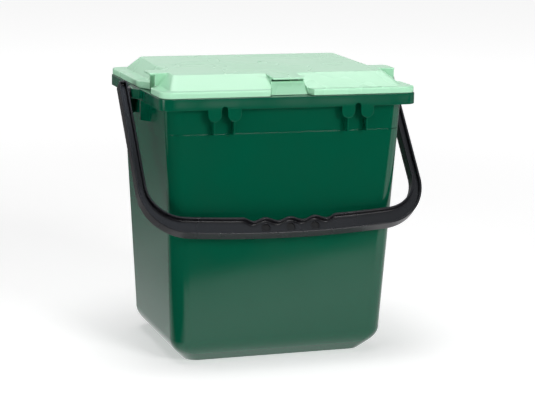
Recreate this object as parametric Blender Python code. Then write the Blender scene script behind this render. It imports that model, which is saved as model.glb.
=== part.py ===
"""Kitchen compost caddy: a tapered tub, a clip-on lid and a swinging bail handle.

Metres, +Z up, X across the front, the front face towards -Y.
The origin is the middle of the flat base.
"""
import math

import bmesh
import bpy
from mathutils import Vector

overall_width = 0.2928        # across the arms of the handle, the widest place

# Tub
rim_depth = 0.2108
tub_height = 0.267            # base to the top of the rim
rim_corner = 0.0116           # plan radius of the rim's corners
skirt_height = 0.011          # band that hangs from the rim
skirt_wall = 0.0022
wall = 0.0022
rim_overhang = 0.0095         # from the wall out to the face of the skirt
wall_corner_top = 0.0153
wall_corner_foot = 0.0187
side_taper = 0.0105           # the walls lean in by this much down to the foot curve
front_taper = 0.0114
foot_height = 0.0258          # where the walls start to curve in to the base
foot_slope_height = 0.0093    # top of the straight slope at the very bottom
foot_slope_inset = 0.0083     # inset of the slope's top from the wall
base_inset = 0.0178           # inset of the flat base from the wall
base_corner = 0.0123
floor = 0.0026
step_height = 0.2305          # fine ledge across the front and back walls
step_depth = 0.0006
edge = 0.0009                 # rounding of the rim's edges

# Pairs of hanging lobes on the front of the skirt, each with a rib behind it
lobe_width = 0.0134
lobe_drop = 0.0117            # below the skirt
lobe_places = (0.0578, 0.0775)
lobe_notch = 0.003            # arch cut up into the skirt between two lobes
rib = 0.0014
rib_foot = 0.0006             # above the ledge

# Pivots of the handle in the two sides of the rim
pivot_y = -0.0037
pivot_drop = 0.0055           # below the top of the rim
pin_radius = 0.0030
pin_clearance = 0.0003
ear_clearance = 0.0004        # between an ear and the arm beside it
ear_length = 0.022
ear_slope = 0.008
housing_length = 0.046        # hollow box under the rim behind each ear
housing_slope = 0.020
housing_drop = 0.0195         # below the skirt
housing_wall = 0.002

# Lid
gap = 0.0003                  # between pieces that rest on each other
lid_inset = 0.002             # lid's edge in from the rim's face
lid_corner = 0.010
lid_wall = 0.002
lip_height = 0.0062
lip_round = 0.0013
foot_front = 0.0055           # flat margin from the lid's edge to the foot of the bevel
foot_back = 0.0050
foot_side_front = 0.0095
foot_side_back = 0.0120
top_rise_front = 0.0183       # top panel above the rim, at its front and back edges
top_rise_back = 0.0207
top_front = 0.068             # front and back edges of the top panel from the middle
top_back = 0.073
top_half_front = 0.1080
top_half_back = 0.1063
top_corner = 0.005
locating_drop = 0.004         # ring under the lid that reaches into the tub
locating_wall = 0.0016
locating_clearance = 0.0018

# Side wings of the lid and the notches under them
wing_front = -0.0505
wing_back = -0.026
wing_reach = 0.1270
wing_corner = 0.005
wing_wall_reach = 0.1238
wing_root = 0.012             # wings start this far in from the top panel's side
notch_front = -0.063
notch_back = -0.030
notch_back_slope = 0.012

# Finger tab at the front of the lid and the recess under it
tab_half = 0.016
tab_front = 0.0930
tab_rise = 0.0167             # front edge of the tab above the rim
tab_root = 0.006              # the tab's block and hollow reach in behind the top panel's edge
tab_side_gap = 0.0002         # recess beyond the tab's side, just under it
recess_half_low = 0.0188
mouth_half = 0.0230           # where the recess opens through the lid's edge
recess_depth_low = 0.0075     # in from the lid's edge, at the bottom
recess_depth_high = 0.0135    # and under the tab

# Hinges at the back
hinge_place = 0.060
hinge_offset = 0.0071         # bar's centre behind the skirt
hinge_drop = 0.0005           # bar's centre below the top of the rim
bar_radius = 0.0032
clip_wall = 0.0022
clip_width = 0.014
hinge_ear = 0.003
hinge_ear_radius = 0.0050
hinge_ear_foot = 0.0085       # below the bar's centre
clip_side_gap = 0.0005
clip_open_from = math.radians(215)
clip_open_to = math.radians(310)
heel_radius = 0.0018
heel_angle = math.radians(314)

# Handle, as it lies in its own plane: x across, s down from the pivot, n through it
arm_stand = 0.0164            # rim's side to the outside of an arm at its bend
arm_width = 0.0092
handle_depth = 0.0115
handle_end = 0.0086           # top of the arm above the pivot
arm_splay = 0.0016            # each arm leans out by this much from its top to its bend
handle_reach = 0.1679         # pivot to the outer edge of the grip
grip_height = 0.0182
outer_bend = 0.050
inner_bend = 0.036
bend_sweep = math.radians(85)
web = 0.003
flange = 0.002
finger_pitch = 0.0253
finger_wave = 0.0020
finger_rise = 0.0032
wave_end = 0.0085
pad_place = 0.086             # small pads on the back of the grip that rest on the tub
pad_length = 0.012
pad_reach = 0.0030
pad_height = 0.003
dimple_radius = 0.0042
dimple_depth = 0.0009
dimple_lift = 0.0086          # dimples above the grip's outer edge
boss_radius = 0.0062
pin_reach = 0.0035            # pin's end past the inside of the skirt

corner_steps = 7
round_steps = 24

half_x = overall_width / 2 - arm_stand
half_y = rim_depth / 2
skirt_foot = tub_height - skirt_height
wall_half_x = half_x - rim_overhang
wall_half_y = half_y - rim_overhang
axis_z = tub_height - hinge_drop
axis_y = half_y + hinge_offset
pivot_z = tub_height - pivot_drop
lid_half_x = half_x - lid_inset
lid_half_y = half_y - lid_inset
lid_floor = tub_height + gap
arm_outer = overall_width / 2
arm_inner = arm_outer - arm_width
ear_face = arm_inner - arm_splay - ear_clearance


def clear_scene():
    for item in list(bpy.data.objects):
        bpy.data.objects.remove(item)


def plastic(name, colour, roughness):
    material = bpy.data.materials.new(name)
    material.use_nodes = True
    shader = material.node_tree.nodes["Principled BSDF"]
    shader.inputs["Base Color"].default_value = (*colour, 1)
    shader.inputs["Roughness"].default_value = roughness
    shader.inputs["Metallic"].default_value = 0.0
    return material


def solid(name, points, faces):
    """An object from closed faces, turned outwards."""
    mesh = bpy.data.meshes.new(name)
    shape = bmesh.new()
    corners = [shape.verts.new(point) for point in points]
    for face in faces:
        shape.faces.new([corners[index] for index in face])
    bmesh.ops.recalc_face_normals(shape, faces=shape.faces)
    shape.to_mesh(mesh)
    shape.free()
    body = bpy.data.objects.new(name, mesh)
    bpy.context.collection.objects.link(body)
    return body


def ring(front, back, radius, height):
    """Rounded outline with its own half width at the front and at the back.

    front and back are (half width, y); height is a number or a function of y.
    """
    points = []
    corners = ((front, 1, -1), (back, 1, 1), (back, -1, 1), (front, -1, -1))
    for place, ((half, y), side, way) in enumerate(corners):
        for step in range(corner_steps + 1):
            turn = math.radians(90 * (place - 1) + 90 * step / corner_steps)
            px = side * (half - radius) + radius * math.cos(turn)
            py = y - way * radius + radius * math.sin(turn)
            pz = height(py) if callable(height) else height
            points.append((px, py, pz))
    return points


def box_ring(x, y, radius, height):
    return ring((x, -y), (x, y), radius, height)


def loft(name, rings, folded=False):
    """Skin over a row of like outlines, capped at both ends.

    folded splits the sides in triangles, alike left and right, where they aren't flat.
    """
    count = len(rings[0])
    points = [point for outline in rings for point in outline]
    faces = []
    for level in range(len(rings) - 1):
        for place in range(count):
            after = (place + 1) % count
            low = level * count
            quad = (low + place, low + after, low + count + after, low + count + place)
            if folded and points[quad[0]][0] + points[quad[1]][0] > 0:
                faces += [(quad[0], quad[1], quad[2]), (quad[0], quad[2], quad[3])]
            elif folded:
                faces += [(quad[0], quad[1], quad[3]), (quad[1], quad[2], quad[3])]
            else:
                faces.append(quad)
    faces.append(tuple(range(count)))
    faces.append(tuple(range(len(points) - count, len(points))))
    return solid(name, points, faces)


def prism(name, outline, axis, low, high):
    """Flat outline pushed along an axis: (y, z) along X, (x, z) along Y, (x, y) along Z."""
    def place(point, depth):
        first, second = point
        return {"X": (depth, first, second), "Y": (first, depth, second), "Z": (first, second, depth)}[axis]

    count = len(outline)
    points = [place(point, low) for point in outline] + [place(point, high) for point in outline]
    faces = [(k, (k + 1) % count, count + (k + 1) % count, count + k) for k in range(count)]
    faces += [tuple(range(count)), tuple(range(count, 2 * count))]
    return solid(name, points, faces)


def frustum(name, low, high):
    """Block between two four-cornered faces given corner by corner."""
    faces = [(0, 1, 2, 3), (4, 5, 6, 7), (0, 1, 5, 4), (1, 2, 6, 5), (2, 3, 7, 6), (3, 0, 4, 7)]
    return solid(name, list(low) + list(high), faces)


def round_outline(centre, radius, start=0.0, end=2 * math.pi, steps=round_steps):
    full = abs(end - start - 2 * math.pi) < 1e-9
    count = steps if full else steps + 1
    turns = [start + (end - start) * k / steps for k in range(count)]
    return [(centre[0] + radius * math.cos(t), centre[1] + radius * math.sin(t)) for t in turns]


def combine(body, tool, operation):
    """One exact Boolean, kept in the body's mesh; the tool is used up."""
    step = body.modifiers.new("combine", "BOOLEAN")
    step.operation = operation
    step.object = tool
    step.solver = "EXACT"
    bpy.context.view_layer.update()
    graph = bpy.context.evaluated_depsgraph_get()
    result = bpy.data.meshes.new_from_object(body.evaluated_get(graph))
    body.modifiers.clear()
    body.data = result
    bpy.data.objects.remove(tool)


def add(body, *tools):
    for tool in tools:
        combine(body, tool, "UNION")


def cut(body, *tools):
    for tool in tools:
        combine(body, tool, "DIFFERENCE")


def finish(body, name, origin, material):
    """Names the piece, sets its origin on its axis and shades it."""
    body.name = name
    body.data.name = name
    shift = Vector(origin) - body.location
    for corner in body.data.vertices:
        corner.co -= shift
    body.location = origin
    body.data.materials.clear()
    body.data.materials.append(material)
    for face in body.data.polygons:
        face.material_index = 0
    body.data.shade_smooth()
    body.data.set_sharp_from_angle(angle=math.radians(28))


def wall_half(z):
    """Half width and half depth of the wall's outside at a height above the foot curve."""
    share = (skirt_foot - z) / (skirt_foot - foot_height)
    return wall_half_x - side_taper * share, wall_half_y - front_taper * share


def wall_ring(z, inset, ledge=0.0):
    """Outline of the wall at a height, with the front and back set in by ledge."""
    share = (skirt_foot - z) / (skirt_foot - foot_height)
    corner = wall_corner_top + (wall_corner_foot - wall_corner_top) * share
    x, y = wall_half(z)
    return box_ring(x - inset, y - inset - ledge, max(corner - inset, 0.002), z)


def foot_rings(inset, bottom):
    """Rings of the curved foot, from the flat base up to the upright wall."""
    foot_x, foot_y = wall_half(foot_height)
    slope = (base_inset - foot_slope_inset) / foot_slope_height
    bend = foot_slope_height + foot_slope_inset / slope
    rings = []

    def level(inward, z):
        share = 1 - z / foot_height
        corner = wall_corner_foot + (base_corner - wall_corner_foot) * share
        raised = bottom + z * (foot_height - bottom) / foot_height
        rings.append(box_ring(foot_x - inward - inset, foot_y - inward - inset, max(corner - inset, 0.002), raised))

    level(base_inset, 0.0)
    for t in (0.0, 0.25, 0.5, 0.75, 1.0):
        inward = foot_slope_inset * (1 - t) ** 2
        z = (1 - t) ** 2 * foot_slope_height + 2 * t * (1 - t) * min(bend, foot_height) + t * t * foot_height
        level(inward, z)
    return rings


def tub_shell():
    """Outside from the base up over the rim, then down the inside to the floor."""
    rim_under = tub_height - wall
    rings = foot_rings(0.0, 0.0)
    rings.append(wall_ring(step_height, 0.0))
    rings.append(wall_ring(step_height + step_depth / 2, 0.0, step_depth))
    rings.append(wall_ring(rim_under, 0.0, step_depth))
    inside = half_x - skirt_wall, half_y - skirt_wall
    inner_corner = rim_corner - skirt_wall
    rings.append(box_ring(*inside, inner_corner, rim_under))
    rings.append(box_ring(*inside, inner_corner, skirt_foot))
    half_edge = 0.29 * edge
    rings.append(box_ring(half_x - edge, half_y - edge, rim_corner - edge, skirt_foot))
    rings.append(box_ring(half_x - half_edge, half_y - half_edge, rim_corner - half_edge, skirt_foot + half_edge))
    rings.append(box_ring(half_x, half_y, rim_corner, skirt_foot + edge))
    rings.append(box_ring(half_x, half_y, rim_corner, tub_height - edge))
    rings.append(box_ring(half_x - half_edge, half_y - half_edge, rim_corner - half_edge, tub_height - half_edge))
    rings.append(box_ring(half_x - edge, half_y - edge, rim_corner - edge, tub_height))
    x, y = wall_half(tub_height)
    soft_x, soft_y = x - wall + edge, y - wall - step_depth + edge
    rings.append(box_ring(soft_x, soft_y, wall_corner_top - wall + edge, tub_height))
    rings.append(box_ring(soft_x - edge, soft_y - edge, wall_corner_top - wall, tub_height - edge))
    rings.append(wall_ring(step_height + step_depth / 2, wall, step_depth))
    rings.extend(reversed(foot_rings(wall, floor)))
    return loft("tub", rings)


def lobe_outline(centre):
    radius = lobe_width / 2
    low = skirt_foot - lobe_drop + radius
    arc = round_outline((centre, low), radius, math.pi, 2 * math.pi, 12)
    top = tub_height - skirt_height / 2
    return [(centre - radius, top)] + arc + [(centre + radius, top)]


def add_lobes(tub):
    """Two pairs of lobes, the notch between each pair, and the ribs behind them."""
    face = -half_y + 0.0001
    back = -half_y + skirt_wall - 0.0001
    inner, outer = lobe_places
    for side in (-1, 1):
        for place in lobe_places:
            centre = side * place
            add(tub, prism("lobe", lobe_outline(centre), "Y", face, back))
            foot = step_height + rib_foot
            wall_at_foot = -wall_half(foot)[1] + step_depth + wall / 2
            wall_at_top = -wall_half(tub_height)[1] + step_depth + wall / 2
            lip = -half_y + skirt_wall / 2
            top = tub_height - wall / 2
            outline = [(wall_at_foot, foot), (lip, foot), (lip, top), (wall_at_top, top)]
            add(tub, prism("rib", outline, "X", centre - rib / 2, centre + rib / 2))
        space = (outer - inner - lobe_width) / 2
        middle = side * (inner + outer) / 2
        arch = round_outline((middle, skirt_foot + lobe_notch - space), space, 0, math.pi, 8)
        outline = [(middle - space, skirt_foot - lobe_drop), (middle + space, skirt_foot - lobe_drop)] + arch
        cut(tub, prism("notch", outline, "Y", -half_y - 0.002, -half_y + skirt_wall + 0.0005))


def bulge(length, slope, root, reach, low, high, name, side):
    """Flat-topped swelling on a side of the tub, seen from above as a trapezium."""
    outline = [
        (side * root, pivot_y - length / 2 - slope),
        (side * reach, pivot_y - length / 2),
        (side * reach, pivot_y + length / 2),
        (side * root, pivot_y + length / 2 + slope),
    ]
    return prism(name, outline, "Z", low, high)


def ear_pocket(side):
    """Hollow of an ear, open below, that runs on into the housing."""
    length = ear_length - 2 * housing_wall
    reach = ear_face - housing_wall
    root = half_x - skirt_wall - 0.001
    return bulge(length, 0.6 * ear_slope, root, reach, skirt_foot - 0.001, tub_height - wall, "ear_pocket", side)


def add_pivots(tub):
    """Hollow housing, ear and pin hole on each side."""
    low = skirt_foot - housing_drop
    root = wall_half(low)[0] - wall / 2
    outer = half_x - 0.0001
    for side in (-1, 1):
        add(tub, bulge(housing_length, housing_slope, root, outer, low, tub_height - wall / 2, "housing", side))
        ear_low = skirt_foot + edge
        ear_root = half_x - skirt_wall / 2
        add(tub, bulge(ear_length, ear_slope, ear_root, ear_face, ear_low, tub_height - edge, "ear", side))
        pocket_root = wall_half(low)[0] + housing_wall / 2
        pocket = bulge(housing_length - 2 * housing_wall, housing_slope - housing_wall, pocket_root + housing_wall / 2,
                       half_x - skirt_wall, low - 0.002, tub_height - wall, "pocket", side)
        cut(tub, pocket)
        cut(tub, ear_pocket(side))
        bore = round_outline((pivot_y, pivot_z), pin_radius + pin_clearance)
        ends = sorted((side * (half_x - skirt_wall - 0.001), side * (ear_face + 0.001)))
        cut(tub, prism("bore", bore, "X", *ends))


def add_hinge_bars(tub):
    """Two pairs of ears behind the rim, each pair carrying a round bar."""
    inner = clip_width / 2 + clip_side_gap
    for side in (-1, 1):
        middle = side * hinge_place
        for way in (-1, 1):
            ends = sorted((middle + way * inner, middle + way * (inner + hinge_ear)))
            foot = axis_z - hinge_ear_foot
            root = half_y - skirt_wall / 2
            arc = round_outline((axis_y, axis_z), hinge_ear_radius, -math.pi / 2, math.pi / 2, 12)
            outline = [(root, foot)] + arc + [(root, axis_z)]
            add(tub, prism("hinge_ear", outline, "X", *ends))
        reach = inner + hinge_ear / 2
        bar = round_outline((axis_y, axis_z), bar_radius)
        add(tub, prism("bar", bar, "X", middle - reach, middle + reach))


def make_tub():
    tub = tub_shell()
    add_lobes(tub)
    add_pivots(tub)
    add_hinge_bars(tub)
    return tub


def top_height(y):
    """Height of the lid's top panel, which falls a little towards the front."""
    share = (y + top_front) / (top_front + top_back)
    return tub_height + top_rise_front + (top_rise_back - top_rise_front) * share


def tab_height(y):
    """Height of the finger tab, which dips from the top panel's front edge."""
    share = (y + tab_front) / (tab_front - top_front)
    return tub_height + tab_rise + (top_rise_front - tab_rise) * share


def lid_form(name, inset, low, drop):
    """The lid's main form; inset and drop give the hollow inside it."""
    x = lid_half_x - inset
    y = lid_half_y - inset
    corner = lid_corner - inset
    lip = lid_floor + lip_height - drop
    soft = lip_round if inset == 0 else 0.0004
    foot = (
        (lid_half_x - foot_side_front - 0.6 * inset, -lid_half_y + foot_front + 0.3 * inset),
        (lid_half_x - foot_side_back - 0.6 * inset, lid_half_y - foot_back - 0.3 * inset),
    )
    top = (
        (top_half_front - 0.4 * inset, -top_front + 0.2 * inset),
        (top_half_back - 0.4 * inset, top_back - 0.2 * inset),
    )
    rings = [
        box_ring(x, y, corner, low),
        box_ring(x, y, corner, lip - soft),
        box_ring(x - 0.29 * soft, y - 0.29 * soft, corner - 0.29 * soft, lip - 0.29 * soft),
        box_ring(x - soft, y - soft, corner - soft, lip),
        ring(*foot, 0.8 * lid_corner, lip + 0.0001),
        ring(*top, top_corner, lambda place: top_height(place) - drop),
    ]
    return loft(name, rings, folded=True)


def notch_prism(name, side, grow, high):
    """Space under a wing where the lid's margin is cut away, grown by grow."""
    inner = wing_wall_reach - grow
    outer = lid_half_x + 2 * lid_wall
    slope = notch_back_slope / (lid_half_x - wing_wall_reach)
    outline = [
        (side * inner, notch_front - grow),
        (side * outer, notch_front - grow),
        (side * outer, notch_back + grow + slope * (outer - wing_wall_reach)),
        (side * inner, notch_back + grow),
    ]
    return prism(name, outline, "Z", lid_floor - 0.003, high)


def slab(name, outline, level, drop, thickness):
    """Plate under a sloping plane; outline is seen from above and level gives the plane."""
    count = len(outline)
    points = [(x, y, level(y) - drop - thickness) for x, y in outline]
    points += [(x, y, level(y) - drop) for x, y in outline]
    faces = [(k, (k + 1) % count, count + (k + 1) % count, count + k) for k in range(count)]
    faces += [tuple(range(count)), tuple(range(count, 2 * count))]
    return solid(name, points, faces)


def upright(name, x_low, x_high, y_low, y_high, low, drop):
    """Block from a level bottom up to a depth under the plane of the top panel."""
    corners = ((x_low, y_low), (x_high, y_low), (x_high, y_high), (x_low, y_high))
    return frustum(name, [(x, y, low) for x, y in corners], [(x, y, top_height(y) - drop) for x, y in corners])


def recess_faces(grow, y_inner, low, high):
    """Lower and upper faces of a block that fills the finger recess from y_inner outwards."""
    rise = tab_height(-tab_front) - lid_wall - lid_floor
    faces = []
    for z in (low, high):
        share = (z - lid_floor) / rise
        half = recess_half_low + (tab_half + tab_side_gap - recess_half_low) * share + grow
        depth = recess_depth_low + (recess_depth_high - recess_depth_low) * share + grow
        edge_y = -lid_half_y + depth
        far = y_inner if y_inner is not None else -lid_half_y - tab_root
        faces.append([(-half, edge_y, z), (half, edge_y, z), (half, far, z), (-half, far, z)])
    return faces


def recess_mouth(name, grow):
    """Part of the recess that opens out through the lid's edge."""
    inner = recess_half_low + tab_side_gap + grow
    depth = recess_depth_low - 0.0005 + grow
    spread = (mouth_half - recess_half_low) / (recess_depth_low - 0.0005)
    beyond = tab_root
    outer = inner + spread * (depth + beyond)
    y_inner = -lid_half_y + depth
    y_outer = -lid_half_y - beyond
    outline = [(-inner, y_inner), (inner, y_inner), (outer, y_outer), (-outer, y_outer)]
    return prism(name, outline, "Z", lid_floor - 0.0015, lid_floor + lip_height + 0.0006)


def wing_outline(side, inner, reach, corner):
    """Wing seen from above, with its back outer corner rounded."""
    arc = round_outline((reach - corner, wing_back - corner), corner, 0, math.pi / 2, 6)
    points = [(inner, wing_front), (reach, wing_front)] + arc + [(inner, wing_back)]
    return [(side * x, y) for x, y in points]


def make_lid():
    soft = 0.0001
    lid = lid_form("lid", 0.0, lid_floor, 0.0)
    hollow = lid_form("hollow", lid_wall, lid_floor - 0.001, lid_wall)
    inner = top_half_back - wing_root
    tall = tub_height + top_rise_back
    under_tab = tab_height(-tab_front) - lid_wall
    cut(lid, notch_prism("side_notch", -1, 0.0, tall), notch_prism("side_notch", 1, 0.0, tall))
    cut(hollow, notch_prism("keep", -1, lid_wall, tall), notch_prism("keep", 1, lid_wall, tall))
    low, high = recess_faces(0.0, -top_front + tab_root, lid_floor + soft, under_tab + 0.0006)
    add(lid, frustum("tab_block", low, high))
    cut(lid, frustum("recess", *recess_faces(0.0, None, lid_floor - 0.001, under_tab + 0.003)))
    cut(lid, recess_mouth("mouth", 0.0))
    cut(hollow, frustum("keep_recess", *recess_faces(lid_wall, None, lid_floor - 0.002, tall)))
    cut(hollow, recess_mouth("keep_mouth", lid_wall))
    low, high = recess_faces(-lid_wall, -top_front + 2 * tab_root, lid_floor - 0.001, under_tab)
    shift = 2 * lid_wall + 0.0003
    behind = [[(x, y + shift if y < -top_front else y, z) for x, y, z in face] for face in (low, high)]
    add(hollow, frustum("tab_hollow", *behind))
    for side in (-1, 1):
        ends = sorted((side * inner, side * (wing_wall_reach - soft)))
        add(lid, upright("wing", *ends, wing_front + soft, wing_back - wing_corner, lid_floor + soft, lid_wall / 2))
        outline = wing_outline(side, inner, wing_reach, wing_corner)
        add(lid, slab("wing_plate", outline, top_height, soft, lid_wall))
        thick = lid_wall + 0.0003
        ends = sorted((side * (inner - 2 * lid_wall), side * (wing_wall_reach - thick)))
        spread = wing_front + thick, wing_back - wing_corner - thick
        add(hollow, upright("wing_hollow", *ends, *spread, lid_floor - 0.0013, thick))
    cut(hollow, locating_band("upper_band", 0.0, lid_floor - 0.003, lid_floor + lip_height - 0.0002))
    cut(lid, hollow)
    root = -top_front + 2 * lid_wall
    tab = [(-tab_half, -tab_front), (tab_half, -tab_front), (tab_half, root), (-tab_half, root)]
    add(lid, slab("tab", tab, tab_height, soft, lid_wall))
    add(lid, locating_band("lower_band", 0.0002, tub_height - locating_drop, lid_floor + 0.0015))
    add_clips(lid)
    return lid


def locating_band(name, slim, low, high):
    """Low wall under the lid that drops into the mouth of the tub."""
    x, y = wall_half_x, wall_half_y
    out = wall + step_depth + locating_clearance + slim
    corner = wall_corner_top - out
    wide = out + locating_wall - 2 * slim
    band = loft(name, (box_ring(x - out, y - out, corner, low), box_ring(x - out, y - out, corner, high)))
    inside = [box_ring(x - wide, y - wide, corner - wide + out, z) for z in (high + 0.001, low - 0.001)]
    cut(band, loft("band_inside", inside))
    return band


def add_clips(lid):
    """Two arms that reach over the rim and snap on the hinge bars."""
    bore = bar_radius + gap
    outer = bore + clip_wall
    for side in (-1, 1):
        ends = side * hinge_place - clip_width / 2, side * hinge_place + clip_width / 2
        clip = prism("clip", round_outline((axis_y, axis_z), outer), "X", *ends)
        arm_low = lid_floor + 0.0002
        arm_high = lid_floor + lip_height - lip_round
        root = lid_half_y - 0.6 * lid_wall
        arm = [(root, arm_low), (axis_y, arm_low), (axis_y, axis_z + outer), (root, arm_high)]
        add(clip, prism("arm", arm, "X", ends[0] + 0.0001, ends[1] - 0.0001))
        reach = outer - 0.0003
        spot = axis_y + reach * math.cos(heel_angle), axis_z + reach * math.sin(heel_angle)
        add(clip, prism("heel", round_outline(spot, heel_radius, steps=12), "X", ends[0] + 0.0002, ends[1] - 0.0002))
        wide = ends[0] - 0.001, ends[1] + 0.001
        cut(clip, prism("bore", round_outline((axis_y, axis_z), bore), "X", *wide))
        mouth = [(axis_y, axis_z)]
        mouth += round_outline((axis_y, axis_z), 2 * outer, clip_open_from, clip_open_to - 0.25, 8)
        cut(clip, prism("mouth", mouth, "X", *wide))
        add(lid, clip)


def crown(half, level):
    """Shallow arc across the grip that meets the corner bend at its slope."""
    rise = half / 2 * math.tan(math.pi / 2 - bend_sweep)
    return lambda x: level - rise * (x / half) ** 2


def wave(x):
    """Finger waves along the inside of the grip."""
    reach = 1.5 * finger_pitch
    if abs(x) <= reach:
        return finger_rise - finger_wave * math.cos(2 * math.pi * x / finger_pitch)
    if abs(x) >= reach + wave_end:
        return 0.0
    share = (abs(x) - reach) / wave_end
    return (finger_rise + finger_wave) * (1 + math.cos(math.pi * share)) / 2


def bend_half(edge_x, radius, level, lift):
    """Right half of an edge, from the arm round the bend to the middle of the grip."""
    centre_x = edge_x - radius
    end_x = centre_x + radius * math.cos(bend_sweep)
    arch = crown(end_x, level)
    drop = level - arch(end_x)
    centre_s = level - drop - radius * math.sin(bend_sweep)
    points = []
    for k in range(11):
        turn = bend_sweep * k / 10
        points.append((centre_x + radius * math.cos(turn), centre_s + radius * math.sin(turn)))
    count = 30
    for k in range(1, count + 1):
        x = end_x * (1 - k / count)
        points.append((x, arch(x) + lift(x)))
    return points


def mirror(points):
    """The whole edge from the right arm to the left arm."""
    return points + [(-x, s) for x, s in reversed(points[:-1])]


def handle_outline(inset):
    outer = mirror(bend_half(arm_outer - inset, outer_bend - inset, handle_reach - inset, lambda x: 0.0))
    level = handle_reach - grip_height + inset
    inner = mirror(bend_half(arm_inner + inset, inner_bend + inset, level, wave))
    radius = arm_width / 2 - inset
    middle = (arm_outer + arm_inner) / 2 - arm_splay
    start = arm_width / 2 - handle_end
    left = round_outline((-middle, start), radius, math.pi, 2 * math.pi, 12)
    right = round_outline((middle, start), radius, math.pi, 2 * math.pi, 12)
    return outer + left + list(reversed(inner)) + right


def handle_plate(name, inset, low, high):
    """Bail outline between two depths; s runs down and n runs to the front."""
    outline = [(x, -s) for x, s in handle_outline(inset)]
    return prism(name, outline, "Y", -high, -low)


def pad_level():
    """Distance from the pivot down to the upper edge of a rest pad."""
    end_x = arm_inner - inner_bend + inner_bend * math.cos(bend_sweep)
    return crown(end_x, handle_reach - grip_height)(pad_place + pad_length / 2)


def rest_angle():
    """Lean of the hanging handle, at which its rest pads touch the front wall."""
    half_depth = handle_depth / 2 + pad_reach
    reach = pad_level()
    low, high = 0.0, math.radians(85)
    for _ in range(50):
        lean = (low + high) / 2
        y = pivot_y - reach * math.sin(lean) + half_depth * math.cos(lean)
        z = pivot_z - reach * math.cos(lean) - half_depth * math.sin(lean)
        touching = y > -wall_half(z)[1] - gap
        low, high = (lean, high) if touching else (low, lean)
    return high


def make_handle():
    half_depth = handle_depth / 2
    handle = handle_plate("handle", 0.0, -half_depth, half_depth)
    cut(handle, handle_plate("front_pocket", flange, web / 2, half_depth + 0.001))
    cut(handle, handle_plate("back_pocket", flange, -half_depth - 0.001, -web / 2))
    top = pad_level()
    for side in (-1, 1):
        ends = sorted((side * (pad_place - pad_length / 2), side * (pad_place + pad_length / 2)))
        outline = [
            (half_depth - flange, -top - 0.0002),
            (half_depth + pad_reach, -top - 0.0002),
            (half_depth + pad_reach, -top - pad_height),
            (half_depth - flange, -top - pad_height),
        ]
        add(handle, prism("pad", outline, "X", *ends))
    for place in (-1, 0, 1):
        spot = place * finger_pitch, -(handle_reach - dimple_lift)
        dimple = round_outline(spot, dimple_radius, steps=16)
        cut(handle, prism("dimple", dimple, "Y", -web / 2 - 0.002, -web / 2 + dimple_depth))
    for side in (-1, 1):
        boss = round_outline((0, 0), boss_radius)
        face = ear_face + gap
        root = arm_inner - arm_splay + flange / 2
        ends = sorted((side * face, side * root))
        add(handle, prism("boss", boss, "X", *ends))
        pin = round_outline((0, 0), pin_radius)
        ends = sorted((side * (half_x - skirt_wall - pin_reach), side * root))
        add(handle, prism("pin", pin, "X", *ends))
    return handle


clear_scene()
dark_green = plastic("dark_green_polypropylene", (0.004, 0.075, 0.036), 0.32)
mint = plastic("mint_polypropylene", (0.46, 0.83, 0.58), 0.38)
black = plastic("black_polypropylene", (0.012, 0.012, 0.014), 0.36)

finish(make_tub(), "tub", (0, 0, 0), dark_green)
finish(make_lid(), "lid", (0, axis_y, axis_z), mint)
bail = make_handle()
finish(bail, "handle", (0, 0, 0), black)
bail.location = (0, pivot_y, pivot_z)
bail.rotation_euler = (-rest_angle(), 0, 0)
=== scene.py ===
import math

import bmesh
import bpy
from mathutils import Matrix, Vector


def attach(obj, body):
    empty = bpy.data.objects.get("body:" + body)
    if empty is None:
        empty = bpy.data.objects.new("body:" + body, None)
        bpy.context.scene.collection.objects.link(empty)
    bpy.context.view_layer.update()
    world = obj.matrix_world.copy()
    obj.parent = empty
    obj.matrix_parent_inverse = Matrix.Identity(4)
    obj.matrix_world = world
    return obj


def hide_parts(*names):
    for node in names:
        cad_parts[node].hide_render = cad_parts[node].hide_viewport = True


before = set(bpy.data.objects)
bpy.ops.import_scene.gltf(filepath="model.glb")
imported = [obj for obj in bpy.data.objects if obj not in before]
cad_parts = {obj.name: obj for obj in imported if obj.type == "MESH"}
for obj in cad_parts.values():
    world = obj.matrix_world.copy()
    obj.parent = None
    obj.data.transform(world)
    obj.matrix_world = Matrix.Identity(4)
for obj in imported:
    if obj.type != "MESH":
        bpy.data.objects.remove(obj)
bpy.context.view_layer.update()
mm = 0.001   # every size below is in millimetres

cameraSetup = {
    "lens": 117.38,
    "sensor": 36,            # width
    "turn": -18.5,           # degrees round the caddy from straight ahead
    "tilt": 11.31,
    "roll": 0.98,
    "slide": (-10.97, 0.5),  # aim point off the middle of the picture
    "distance": 1793.15,
    "aim": (0, 0, 140),
}


def addCamera():
    turn, tilt, roll = (math.radians(cameraSetup[key]) for key in ("turn", "tilt", "roll"))
    back = Vector((math.sin(turn) * math.cos(tilt), -math.cos(turn) * math.cos(tilt), math.sin(tilt)))
    right = Vector((math.cos(turn), math.sin(turn), 0))
    up = right.cross(-back)
    leanRight = math.cos(roll) * right + math.sin(roll) * up
    leanUp = math.cos(roll) * up - math.sin(roll) * right
    slideX, slideY = cameraSetup["slide"]
    aim = Vector(cameraSetup["aim"]) - slideX * leanRight - slideY * leanUp
    item = bpy.data.objects.new("camera", bpy.data.cameras.new("camera"))
    bpy.context.collection.objects.link(item)
    item.data.lens = cameraSetup["lens"]
    item.data.sensor_width = cameraSetup["sensor"]
    item.data.sensor_fit = "HORIZONTAL"
    item.data.clip_end = 20
    item.matrix_world = Matrix((leanRight, leanUp, back)).transposed().to_4x4()
    item.location = (aim + back * cameraSetup["distance"]) * mm
    bpy.context.scene.camera = item


addCamera()
print("camera placed")


# Mesh tools: points in mm, rows are rings of points with the same count

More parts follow.
